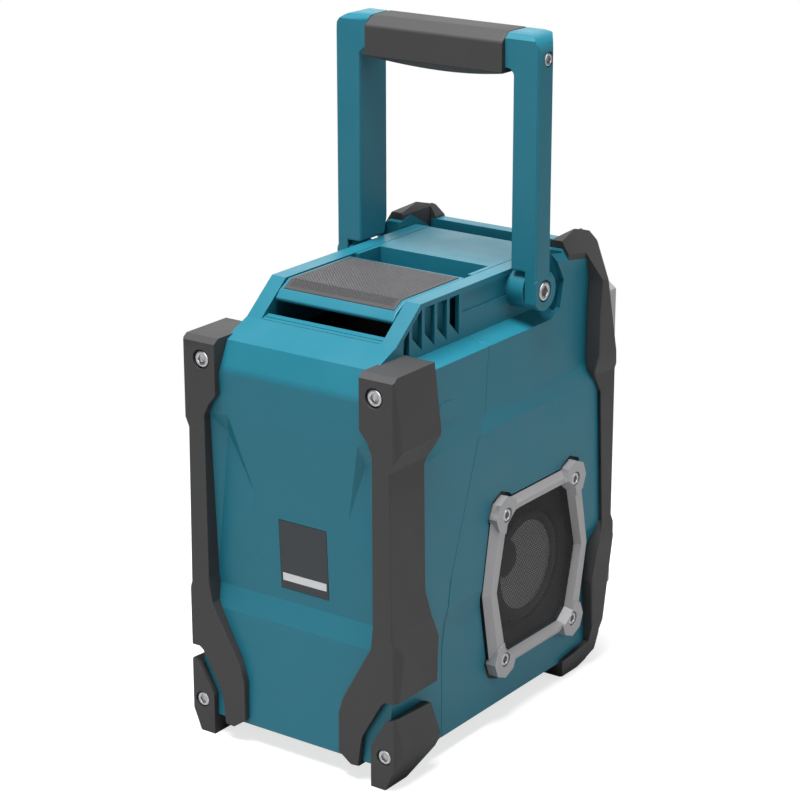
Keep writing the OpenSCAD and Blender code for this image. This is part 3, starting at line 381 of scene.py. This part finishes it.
def on_outer_side(face):
    """Whether a face is the outer side of one of the bezel's bars, between the screws' corners."""
    place = off_speaker(face)
    in_corner = abs(place.y) > BEZEL_CORNER.y and abs(place.z) > BEZEL_CORNER.z
    return not in_corner and abs(face.normal.x) < LOOKS_OUT and place.dot(face.normal) > 0


def dark_on_cone(face):
    """Whether a face belongs to the dust cap or to the rubber round the cone."""
    return not DUST_CAP_RADIUS <= off_speaker(face).length <= PAPER_RADIUS


# ---- the rounded pieces ----
dressed("rear_cover", 0.9, "moulding", sharp=36)
for name, width in {
    "top_deck": 1.3, "deck_insert": 0.8, "battery_lid": 1.0, "front_panel": 0.5, "battery_tray": 0.5,
}.items():
    dressed(name, width, "moulding")
# Painted shade: the housing's faces in the recess behind each grille take the black inner finish.
dressed("front_housing", 0.9, "moulding", paint=("inner_plastic", in_speaker_well))
for side in ("left", "right"):
    dressed(f"handle_arm_{side}", 1.6, "moulding", least_turn=0)
    dressed(f"rear_bumper_{side}", 1.3, "rubber")
    dressed(f"front_bumper_{side}", 1.3, "rubber")
    dressed(f"rear_foot_{side}", 1.3, "rubber")
    dressed(f"speaker_bezel_{side}", 0.45, "paint", paint=("panel_plastic", on_outer_side))
    dressed(f"speaker_cone_{side}", 0.2, "paper", paint=("magnet_metal", dark_on_cone))
dressed("front_bezel", 1.2, "paint")
dressed("handle_grip", 2.6, "rubber", segments=4, least_turn=0)
dressed("lid_pad", 0.5, "rubber")
dressed("tuning_dial", 0.4, "knob")
dressed("port_flap", 0.5, "rubber")
for name in ["power_key", "source_key"] + [f"preset_key_{count}" for count in range(1, 5)]:
    dressed(name, 0.6, "cap")

for name, node in frame["nodes"].items():
    node.data.materials.clear()
    node.data.materials.append(FINISHES[slot_of[name]])


# ---- things that repeat ----
def copies_tree():
    """Puts copies of an object on points, turned and sized by the points' values, as one painted mesh."""
    tree = bpy.data.node_groups.new("copies_on_points", "GeometryNodeTree")
    inputs = {"Points": "Geometry", "Copy": "Object", "Weld": "Float", "Finish": "Material"}
    for name, kind in inputs.items():
        tree.interface.new_socket(name, in_out="INPUT", socket_type=f"NodeSocket{kind}")
    tree.interface.new_socket("Geometry", in_out="OUTPUT", socket_type="NodeSocketGeometry")
    given = add(tree, "NodeGroupInput").outputs
    copy = add(tree, "GeometryNodeObjectInfo", {"Object": given["Copy"]}).outputs["Geometry"]
    turn = add(tree, "GeometryNodeInputNamedAttribute", {"Name": "turn"}, data_type="FLOAT_VECTOR")
    size = add(tree, "GeometryNodeInputNamedAttribute", {"Name": "size"}, data_type="FLOAT")
    placed = add(tree, "GeometryNodeInstanceOnPoints", {
        "Points": given["Points"], "Instance": copy,
        "Rotation": turn.outputs["Attribute"], "Scale": size.outputs["Attribute"]})
    real = add(tree, "GeometryNodeRealizeInstances", {"Geometry": placed.outputs["Instances"]})
    welded = add(tree, "GeometryNodeMergeByDistance", {
        "Geometry": real.outputs["Geometry"], "Distance": given["Weld"]})
    painted = add(tree, "GeometryNodeSetMaterial", {
        "Geometry": welded.outputs["Geometry"], "Material": given["Finish"]})
    add(tree, "NodeGroupOutput", {"Geometry": painted.outputs["Geometry"]})
    return tree


COPIES = copies_tree()


def copies(name, original, places, paint, weld=0.0):
    """One plain mesh of an original's copies; each place is a point, its outward direction and a size."""
    points = bpy.data.meshes.new(f"{name}_points")
    points.from_pydata([point for point, _, _ in places], [], [])
    turns = [angle for _, outward, _ in places for angle in outward.to_track_quat("Z", "Y").to_euler()]
    sizes = [size for _, _, size in places]
    points.attributes.new("turn", "FLOAT_VECTOR", "POINT").data.foreach_set("vector", turns)
    points.attributes.new("size", "FLOAT", "POINT").data.foreach_set("value", sizes)
    piece = new_piece(name, points)
    run = piece.modifiers.new("copies", "NODES")
    run.node_group = COPIES
    sockets = {item.name: item.identifier for item in COPIES.interface.items_tree if item.in_out == "INPUT"}
    run[sockets["Copy"]] = original
    run[sockets["Weld"]] = weld
    run[sockets["Finish"]] = paint
    mesh = bpy.data.meshes.new_from_object(piece.evaluated_get(bpy.context.evaluated_depsgraph_get()))
    mesh.name = name
    piece.modifiers.clear()
    piece.data = mesh
    bpy.data.meshes.remove(points)
    bpy.data.objects.remove(original)
    return piece


def ringed(name, rings, closed_ends=True):
    """A form of rings with equally many points each, first to last."""
    form = bmesh.new()
    rows = [[form.verts.new(point) for point in ring] for ring in rings]
    count = len(rows[0])
    for lower, upper in zip(rows, rows[1:]):
        for index in range(count):
            after = (index + 1) % count
            form.faces.new((lower[index], lower[after], upper[after], upper[index]))
    if closed_ends:
        form.faces.new(list(reversed(rows[0])))
        form.faces.new(rows[-1])
    mesh = bpy.data.meshes.new(name)
    form.to_mesh(mesh)
    form.free()
    return new_piece(name, mesh)


# ---- screw heads ----
# Radius and height of each ring from the stem to the socket's rim, in radii of the head.
HEAD_RINGS = [
    (0.42, -1.3), (0.42, -0.4), (0.97, -0.4), (1, -0.36), (1, -0.12), (0.96, -0.05), (0.88, -0.01),
    (0.8, 0), (0.64, 0), (0.6, -0.02),
]
SOCKET_RINGS = [(0.58, -0.07), (0.55, -0.36)]
SOCKET_FLOOR = (0.2, -0.42)
HEAD_POINTS = 24        # points on each ring
SMOOTH_TURN = 32        # degrees; steeper edges of a head are sharp
FLAT_RING = 0.99        # a face that looks along the screw at least this much is flat
END_SLICE = 0.2 * MM    # how much of a screw's end is measured


def circle(radius, height):
    """Points on a circle at even angles."""
    angles = [math.tau * index / HEAD_POINTS for index in range(HEAD_POINTS)]
    return [(radius * math.cos(angle), radius * math.sin(angle), height) for angle in angles]


def hexagon(corner, height):
    """Points on a hexagon's outline at even angles."""
    points = []
    for index in range(HEAD_POINTS):
        angle = math.tau * index / HEAD_POINTS
        off_flat = (angle % (math.pi / 3)) - math.pi / 6
        radius = corner * math.cos(math.pi / 6) / math.cos(off_flat)
        points.append((radius * math.cos(angle), radius * math.sin(angle), height))
    return points


def socket_screw():
    """A screw head of radius one with a hexagon socket; its outer face is at height zero."""
    rings = [circle(radius, height) for radius, height in HEAD_RINGS]
    rings += [hexagon(corner, height) for corner, height in SOCKET_RINGS]
    head = ringed("socket_screw", rings + [circle(*SOCKET_FLOOR)])
    for face in head.data.polygons:
        face.use_smooth = abs(face.normal.z) < FLAT_RING
    head.data.set_sharp_from_angle(angle=math.radians(SMOOTH_TURN))
    return head


def islands(node):
    """The separate solids of a node, each as its corner points."""
    form = merged(node)
    reached = set()
    found = []
    for first in form.verts:
        if first in reached:
            continue
        reached.add(first)
        front = [first]
        group = []
        while front:
            vert = front.pop()
            group.append(vert.co.copy())
            for edge in vert.link_edges:
                other = edge.other_vert(vert)
                if other not in reached:
                    reached.add(other)
                    front.append(other)
        found.append(group)
    form.free()
    return found


def head_place(points):
    """Outer middle, outward direction and radius of a screw's head."""
    low = Vector([min(point[axis] for point in points) for axis in range(3)])
    high = Vector([max(point[axis] for point in points) for axis in range(3)])
    size = high - low
    axis = max(range(3), key=lambda index: size[index])
    middle = (low + high) / 2
    across = [index for index in range(3) if index != axis]
    def spread(end):
        return max((max(abs(point[index] - middle[index]) for index in across)
                    for point in points if abs(point[axis] - end) < END_SLICE), default=0)
    outward = Vector()
    outward[axis] = 1 if spread(high[axis]) > spread(low[axis]) else -1
    middle[axis] = high[axis] if outward[axis] > 0 else low[axis]
    return middle, outward, max(spread(high[axis]), spread(low[axis]))


for name in ("bumper_screws", "bezel_screws", "panel_screws", "handle_screws", "pivot_screws"):
    places = [head_place(points) for points in islands(name)]
    heads = copies(f"{name}_heads", socket_screw(), places, FINISHES["steel"])
    settle(heads, body_of[name], "steel", name)


# ---- speaker grilles ----
MESH_PITCH = 1.75 * MM
WALL_TOP = 0.85         # where the flat web round a hole ends, as a share of its cell
HOLE_SHARE = 0.8        # the hole's share of its cell
RIM_HEIGHT = -0.06      # height of the hole's rim from the sheet's face, in pitches
WALL_FOOT = -0.2        # height at which the hole's wall ends, in pitches
GRILLE_WELD = 0.02 * MM
PROBE_DEPTH = 3 * MM    # how deep the sheet is looked for below a hole's corner
ROW_RISE = math.sqrt(3) / 2     # height of a row of holes, in pitches


def hex_lattice(width, height, pitch):
    """Points of a lattice of equal triangles round the middle."""
    rows = int(height / pitch / ROW_RISE / 2)
    columns = int(width / pitch / 2) + 1
    return [((column + 0.5 * (row % 2)) * pitch, row * pitch * ROW_RISE)
            for row in range(-rows, rows + 1) for column in range(-columns, columns + 1)]


def perforated(side):
    """The grille as a sheet with rows of holes."""
    node = f"speaker_grille_{side}"
    sheet = surface(node)
    outward = Vector((-1 if side == "left" else 1, 0, 0))
    low, high = (Vector(corner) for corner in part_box(node))
    middle = (low + high) / 2
    face_x = low.x if side == "left" else high.x
    outer = 1 / math.sqrt(3)
    corners = [(outer * math.sin(math.tau * index / 6), outer * math.cos(math.tau * index / 6))
               for index in range(6)]
    def ring(share, height):
        return [(x * share, y * share, height) for x, y in reversed(corners)]
    cell = ringed("grille_cell", [ring(1, 0), ring(WALL_TOP, 0), ring(HOLE_SHARE, RIM_HEIGHT),
                                  ring(HOLE_SHARE, WALL_FOOT)], closed_ends=False)
    places = []
    for across, up in hex_lattice(high.y - low.y, high.z - low.z, MESH_PITCH):
        spot = Vector((face_x, middle.y + across, middle.z + up))
        probes = [spot + Vector((0, x * MESH_PITCH, y * MESH_PITCH)) + outward * MM for x, y in corners]
        if all(sheet.ray_cast(probe, -outward, PROBE_DEPTH)[0] is not None for probe in probes):
            places.append((spot, outward, MESH_PITCH))
    piece = copies(f"{node}_mesh", cell, places, FINISHES["grille_steel"], weld=GRILLE_WELD)
    settle(piece, body_of[node], "grille_steel", node)


perforated("left")
perforated("right")


# ---- the lid's pad ----
STUD_PITCH = 2.3 * MM
STUD_ROOM = 2.6 * MM    # flat pad that a stud needs to each side
FLATNESS = 0.1 * MM     # how far the pad may rise round a stud
LEVEL = 0.3             # a stud stands only where the pad looks upward at least this much
# Half width and height of each ring of a stud, in pitches.
STUD_RINGS = [(0.5, -0.05), (0.42, 0.03), (0.16, 0.16)]


def pad_studs():
    """Small four-sided studs over the pad."""
    pad = surface("lid_pad")
    low, high = (Vector(corner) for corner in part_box("lid_pad"))
    middle = (low + high) / 2
    stud = ringed("pad_stud", [[(half, 0, height), (0, half, height), (-half, 0, height), (0, -half, height)]
                               for half, height in STUD_RINGS])
    down = Vector((0, 0, -1))
    sides = [Vector((x, y, 0)) * STUD_ROOM for x, y in ((1, 0), (-1, 0), (0, 1), (0, -1))]
    rows = int((high.y - low.y) / STUD_PITCH)
    columns = int((high.x - low.x) / STUD_PITCH / 2)
    places = []
    for row in range(-rows, rows + 1):
        for column in range(-columns, columns + 1):
            spot = Vector((middle.x + (column + 0.5 * (row % 2)) * STUD_PITCH,
                           middle.y + row * STUD_PITCH / 2, high.z + MM))
            point, normal = pad.ray_cast(spot, down)[:2]
            if point is None or normal.z < LEVEL:
                continue
            around = [pad.ray_cast(spot + side, down)[0] for side in sides]
            if all(near is not None and (near - point).dot(normal) <= FLATNESS for near in around):
                places.append((point, normal, STUD_PITCH))
    studs = copies("lid_pad_studs", stud, places, FINISHES["pad_rubber"])
    settle(studs, body_of["lid_pad"], "pad_rubber")


pad_studs()


# ---- marks ----
# The seven bars of a digit that is 5 wide and 9 high: left, low, right and high.
SEGMENTS = {
    "a": (0, 8, 5, 9), "b": (4.2, 4.5, 5, 9), "c": (4.2, 0, 5, 4.5), "d": (0, 0, 5, 1),
    "e": (0, 0, 0.8, 4.5), "f": (0, 4.5, 0.8, 9), "g": (0, 4.05, 5, 4.95),
}
DIGITS = {"0": "abcdef", "1": "bc", "2": "abged", "3": "abgcd", "4": "fgbc", "5": "afgcd"}
DIGIT_HEIGHT = 9
DIGIT_STEP = 7
SUNK = 0.05             # millimetres that a mark reaches into its piece
SAME_WAY = 0.995        # how far a flat has to agree with the direction it is looked for in


def bar(left, low, right, high):
    """An upright rectangle's corners."""
    return [(left, low), (right, low), (right, high), (left, high)]


def arc(radius, width, start, end, steps=18):
    """Short stretches of a ring between two angles in degrees."""
    turns = [math.radians(start + (end - start) * step / steps) for step in range(steps + 1)]
    inner = [((radius - width) * math.cos(turn), (radius - width) * math.sin(turn)) for turn in turns]
    outer = [(radius * math.cos(turn), radius * math.sin(turn)) for turn in turns]
    return [[inner[step], outer[step], outer[step + 1], inner[step + 1]] for step in range(steps)]


def numeral(text, left, low, height):
    """Bars that write plain digits."""
    scale = height / DIGIT_HEIGHT
    bars = []
    for place, digit in enumerate(text):
        start = left + place * DIGIT_STEP * scale
        for segment in DIGITS[digit]:
            x0, z0, x1, z1 = SEGMENTS[segment]
            bars.append(bar(start + x0 * scale, low + z0 * scale, start + x1 * scale, low + z1 * scale))
    return bars


def flat_place(node, outward):
    """Middle, sideways and upward directions and normal of the widest flat that faces outward."""
    form = merged(node)
    wanted = Vector(outward).normalized()
    face = max((face for face in form.faces if face.normal.dot(wanted) > SAME_WAY),
               key=lambda face: face.calc_area())
    middle = face.calc_center_bounds()
    normal = face.normal.copy()
    form.free()
    sideways = Vector((0, 0, 1)).cross(normal).normalized()
    return middle, sideways, normal.cross(sideways), normal


def marks(name, node, outward, shapes, paint, slot, proud=0.06):
    """Thin raised shapes with corners in millimetres on a node's flat."""
    middle, sideways, upward, normal = flat_place(node, outward)
    form = bmesh.new()
    for shape in shapes:
        corners = [middle + (sideways * x + upward * z) * MM for x, z in shape]
        base = [form.verts.new(corner - normal * SUNK * MM) for corner in corners]
        top = [form.verts.new(corner + normal * proud * MM) for corner in corners]
        form.faces.new(top)
        for index in range(len(base)):
            after = (index + 1) % len(base)
            form.faces.new((base[index], base[after], top[after], top[index]))
    mesh = bpy.data.meshes.new(name)
    form.to_mesh(mesh)
    form.free()
    mesh.materials.append(paint)
    settle(new_piece(name, mesh), body_of[node], slot)


FORWARD = (0, -1, 0)
REAR_WALL = (0, 0.9989, -0.0464)    # outward from the leaning rear wall
DECK_SILL = (0, 0.261, 0.965)       # outward from the sloping sill
PLATE_FIELD = [bar(-16.6, -17.2, 16.6, -12.2)]
SILL_RIB = [bar(-44, -0.4, 44, 0.1)]
SILL_SEAM_SHADE = [bar(-44, -3.45, 44, -3.05)]
KEY_NUMERAL = (-1.4, -2.4, 4.8)     # left edge, low edge and height
STATION = numeral("1025", -30, -6, 14)
SIGNAL_BARS = [bar(20 + 3 * step, -6, 21.6 + 3 * step, -3 + 2.6 * step) for step in range(4)]
POINTER = [bar(-0.7, 12.5, 0.7, 18.5)]
POWER_RING = arc(3.4, 0.7, 125, 415) + [bar(-0.35, 0.8, 0.35, 4.2)]
LIST_LINES = [bar(-3, -2.6 + 2.2 * row, 3, -1.8 + 2.2 * row) for row in range(3)]

marks("label_field", "label_plate", REAR_WALL, PLATE_FIELD, WHITE_PRINT, "label")
marks("deck_sill_rib", "top_deck", DECK_SILL, SILL_RIB, FINISHES["cabinet_plastic"], "cabinet_plastic",
      proud=0.35)
# Painted shade: a thin black strip stands for the shade in the seam between the deck and the rear cover.
marks("deck_sill_seam", "top_deck", DECK_SILL, SILL_SEAM_SHADE, FINISHES["inner_plastic"], "inner_plastic",
      proud=0.03)
for count in range(1, 5):
    marks(f"key_numeral_{count}", f"preset_key_{count}", FORWARD, numeral(str(count), *KEY_NUMERAL),
          WHITE_PRINT, "key_plastic")
marks("display_digits", "display_module", FORWARD, STATION + SIGNAL_BARS, DARK_PRINT, "display")
marks("dial_pointer", "tuning_dial", FORWARD, POINTER, WHITE_PRINT, "dial_plastic")
marks("power_mark", "power_key", FORWARD, POWER_RING, WHITE_PRINT, "key_plastic")
marks("source_mark", "source_key", FORWARD, LIST_LINES, WHITE_PRINT, "key_plastic")


# ---- stage, light and camera ----
WHITE = (1, 1, 1, 1)
FLOOR_GREY = (0.4, 0.4, 0.4, 1)
FLOOR_GLOW = 0.7            # the floor's own light where it shows the shadow
FLOOR_RADIUS = 9
FLOOR_SIDES = 96
SHADOW_END = (0.28, 0.6)    # metres from the middle between which the floor turns pure white
FILL_LIGHT = 0.18
LIT_POINT = (0, 0, 0.2)
LAMPS = {                   # place, size in metres and power in watts
    "top_light": ((0, 0.4, 2.3), 1.1, 100),
    "rear_light": ((0.2, 2.2, 0.7), 1.2, 12),
    "side_light": ((-2.0, -0.9, 0.8), 1.2, 12),
    "front_light": ((0.9, -1.7, 1.1), 1.5, 9),
}
CAMERA_PLACE = (-0.87246, 1.22583, 0.70368)
CAMERA_TURN = (71.490, 0.097, -144.325)
CAMERA_LENS = 112.62        # focal length and sensor width in millimetres
CAMERA_SENSOR = 36


def camera_only(tree, unseen, shown):
    """Mixes two shaders: the camera, also through glass, sees shown and all else meets unseen."""
    rays = add(tree, "ShaderNodeLightPath").outputs
    sight = add(tree, "ShaderNodeMath", {0: rays["Is Camera Ray"], 1: rays["Is Transmission Ray"]},
                operation="MAXIMUM")
    return add(tree, "ShaderNodeMixShader", {0: sight.outputs[0], 1: unseen, 2: shown}).outputs[0]


def floor():
    """A round pale floor that looks white and keeps the shadow."""
    form = bmesh.new()
    bmesh.ops.create_circle(form, cap_ends=True, segments=FLOOR_SIDES, radius=FLOOR_RADIUS)
    mesh = bpy.data.meshes.new("floor")
    form.to_mesh(mesh)
    form.free()
    material = bpy.data.materials.new("pale_floor")
    material.use_nodes = True
    tree = material.node_tree
    tree.nodes.remove(tree.nodes["Principled BSDF"])
    matt = add(tree, "ShaderNodeBsdfDiffuse", {"Color": FLOOR_GREY}).outputs[0]
    glow = add(tree, "ShaderNodeEmission", {"Color": WHITE, "Strength": FLOOR_GLOW}).outputs[0]
    white = add(tree, "ShaderNodeEmission", {"Color": WHITE, "Strength": 1.0}).outputs[0]
    lit = add(tree, "ShaderNodeAddShader", {0: matt, 1: glow}).outputs[0]
    place = add(tree, "ShaderNodeTexCoord").outputs["Object"]
    away = add(tree, "ShaderNodeVectorMath", {0: place}, operation="LENGTH").outputs["Value"]
    far = add(tree, "ShaderNodeMapRange", {
        "Value": away, "From Min": SHADOW_END[0], "From Max": SHADOW_END[1]},
        interpolation_type="SMOOTHSTEP").outputs["Result"]
    shown = add(tree, "ShaderNodeMixShader", {0: far, 1: lit, 2: white}).outputs[0]
    tree.links.new(camera_only(tree, matt, shown), tree.nodes["Material Output"].inputs["Surface"])
    mesh.materials.append(material)
    new_piece("floor", mesh)


def world():
    """Even light from all round; white where the camera sees it."""
    made = bpy.data.worlds.new("studio")
    made.use_nodes = True
    tree = made.node_tree
    tree.nodes.remove(tree.nodes["Background"])
    light = add(tree, "ShaderNodeBackground", {"Color": WHITE, "Strength": FILL_LIGHT}).outputs[0]
    white = add(tree, "ShaderNodeBackground", {"Color": WHITE, "Strength": 1.0}).outputs[0]
    tree.links.new(camera_only(tree, light, white), tree.nodes["World Output"].inputs["Surface"])
    bpy.context.scene.world = made


def softbox(name, place, size, power):
    """A square area lamp that faces the object."""
    lamp = bpy.data.lights.new(name, "AREA")
    lamp.shape = "SQUARE"
    lamp.size = size
    lamp.energy = power
    holder = bpy.data.objects.new(name, lamp)
    holder.location = place
    holder.rotation_euler = (Vector(LIT_POINT) - Vector(place)).to_track_quat("-Z", "Y").to_euler()
    bpy.context.scene.collection.objects.link(holder)


def camera():
    """The camera, which looks at the rear wall and the left side."""
    seen = bpy.data.cameras.new("camera")
    seen.sensor_width = CAMERA_SENSOR
    seen.lens = CAMERA_LENS
    holder = bpy.data.objects.new("camera", seen)
    holder.location = CAMERA_PLACE
    holder.rotation_euler = [math.radians(angle) for angle in CAMERA_TURN]
    bpy.context.scene.collection.objects.link(holder)
    bpy.context.scene.camera = holder


floor()
world()
for name, (place, size, power) in LAMPS.items():
    softbox(name, place, size, power)
camera()
bpy.context.scene.view_settings.view_transform = "Standard"
